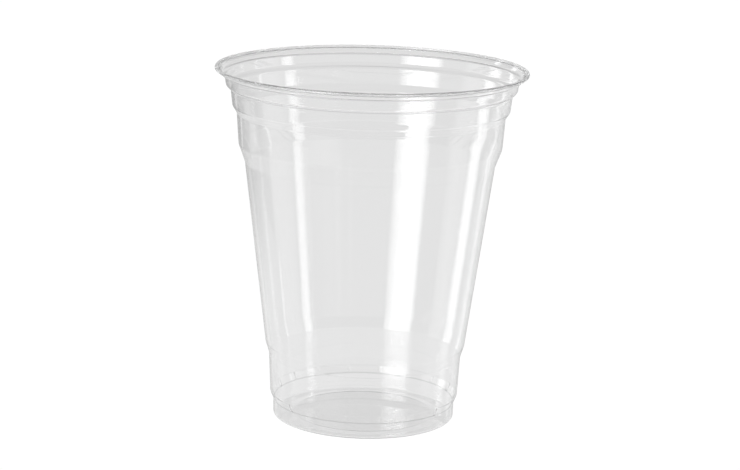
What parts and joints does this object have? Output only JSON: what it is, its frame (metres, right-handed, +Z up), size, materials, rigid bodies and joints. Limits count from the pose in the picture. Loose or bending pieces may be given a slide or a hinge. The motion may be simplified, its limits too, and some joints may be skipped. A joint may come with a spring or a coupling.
{
  "type": "plastic disposable cup",
  "caption": "Clear plastic cold cup with a rolled rim, stepped upper bands for stacking, a tapered wall and a narrow ribbed foot. Holds a cold drink.",
  "frame": {"origin": "centre of the foot's standing ring, on the surface that the cup stands on", "axes": "+Z up along the cup's axis, from the foot to the mouth; the cup is round, so X and Y are alike"},
  "size_m": [0.098, 0.098, 0.1118],
  "materials": {
    "clear_plastic": "clear, glossy thin sheet"
  },
  "bodies": {
    "root": {"cup": "clear_plastic"}
  },
  "joints": []
}
